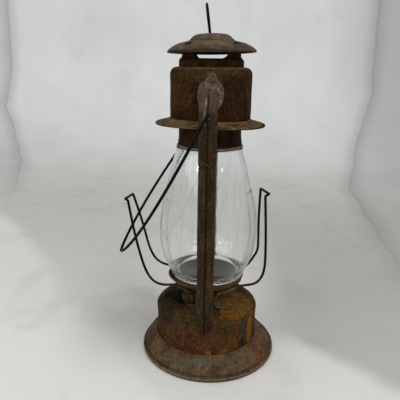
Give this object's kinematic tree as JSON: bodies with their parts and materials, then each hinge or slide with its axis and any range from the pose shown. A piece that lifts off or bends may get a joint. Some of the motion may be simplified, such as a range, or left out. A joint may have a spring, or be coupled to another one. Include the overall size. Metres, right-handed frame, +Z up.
{
  "type": "tubular kerosene lantern",
  "caption": "Tubular kerosene lantern: clear glass globe between two side tubes on a round tank and flared base, with wire guards, wire bail and lifting vented hood.",
  "frame": {"origin": "on the lantern's axis, in the plane that its base stands on", "axes": "+Z up along the globe and chimney; +X towards one side tube, -X towards the other; -Y the front, where the bail hangs in the picture"},
  "size_m": [0.1556, 0.1765, 0.3695],
  "materials": {
    "base_tin": "bent, rust-stained tinplate, dull",
    "tank_tin": "brown and ochre rust over tinplate, matt",
    "filler_tin": "rusted, matt",
    "burner_metal": "tarnished, matt",
    "knob_metal": "red-brown rust, matt",
    "wick_cotton": "woven cotton, charred at the top",
    "plate_tin": "grey tinplate, rusted at the rim",
    "globe_glass": "clear glass, dusty",
    "tube_tin": "dark rust with worn grey tin, satin",
    "chamber_tin": "very dark brown rust, matt",
    "canopy_tin": "ochre-brown rust, matt",
    "cap_tin": "grey-brown weathered tinplate, matt",
    "wire": "blackened, rusted wire"
  },
  "bodies": {
    "lantern": {"base_skirt": "base_tin", "tank_shell": "tank_tin", "tank_bottom": "tank_tin", "filler_neck": "tank_tin", "burner_collar": "burner_metal", "burner_body": "burner_metal", "shaft_sleeve": "burner_metal", "burner_cone": "burner_metal", "wick_tube": "burner_metal", "globe_plate": "plate_tin", "globe": "globe_glass", "side_tube_1": "tube_tin", "side_tube_2": "tube_tin", "tube_collar_1": "tube_tin", "tube_collar_2": "tube_tin", "bail_ear_1": "tube_tin", "bail_ear_2": "tube_tin", "chamber_rivet_1": "tube_tin", "chamber_rivet_2": "tube_tin", "air_chamber": "chamber_tin", "canopy_flange": "canopy_tin", "guard_hinge_1": "wire", "guard_hinge_2": "wire", "stay_wire_1": "wire", "stay_wire_2": "wire", "stay_wire_3": "wire", "stay_wire_4": "wire"},
    "hood": {"chimney": "chamber_tin", "cap_brim": "cap_tin", "cap_dome": "cap_tin", "lift_loop": "wire"},
    "bail": {"bail": "wire"},
    "front_guard": {"front_guard": "wire"},
    "rear_guard": {"rear_guard": "wire"},
    "wick_knob": {"wick_shaft": "knob_metal", "wick_wheel": "knob_metal"},
    "wick": {"wick": "wick_cotton"},
    "filler_cap": {"filler_cap": "filler_tin"}
  },
  "joints": [
    {"name": "hood_lift", "type": "slide", "parent": "lantern", "child": "hood", "axis": [0, 0, 1], "range_m": [0, 0.018], "stiffness_N_per_m": 120, "springref_m": -0.03},
    {"name": "bail_swing", "type": "hinge", "parent": "lantern", "child": "bail", "pos_m": [0, 0, 0.272], "axis": [-1, 0, 0], "range_deg": [-2, 290]},
    {"name": "front_guard_swing", "type": "hinge", "parent": "lantern", "child": "front_guard", "pos_m": [0, -0.029, 0.0839], "axis": [1, 0, 0], "range_deg": [0, 5]},
    {"name": "rear_guard_swing", "type": "hinge", "parent": "lantern", "child": "rear_guard", "pos_m": [0, 0.029, 0.0839], "axis": [-1, 0, 0], "range_deg": [0, 30]},
    {"name": "wick_knob_turn", "type": "hinge", "parent": "lantern", "child": "wick_knob", "pos_m": [0.00305, 0.0047, 0.079], "axis": [0.8387, -0.5446, 0], "range_deg": [0, 100]},
    {"name": "wick_rise", "type": "slide", "parent": "lantern", "child": "wick", "axis": [0, 0, 1], "range_m": [0, 0.0078]},
    {"name": "filler_cap_turn", "type": "hinge", "parent": "lantern", "child": "filler_cap", "pos_m": [-0.027, 0.03, 0.07], "axis": [0, 0, 1], "range_deg": [0, 540]}
  ],
  "couplings": [
    {"joint": "wick_knob_turn", "follows": "wick_rise", "rad_per_m": 200}
  ]
}
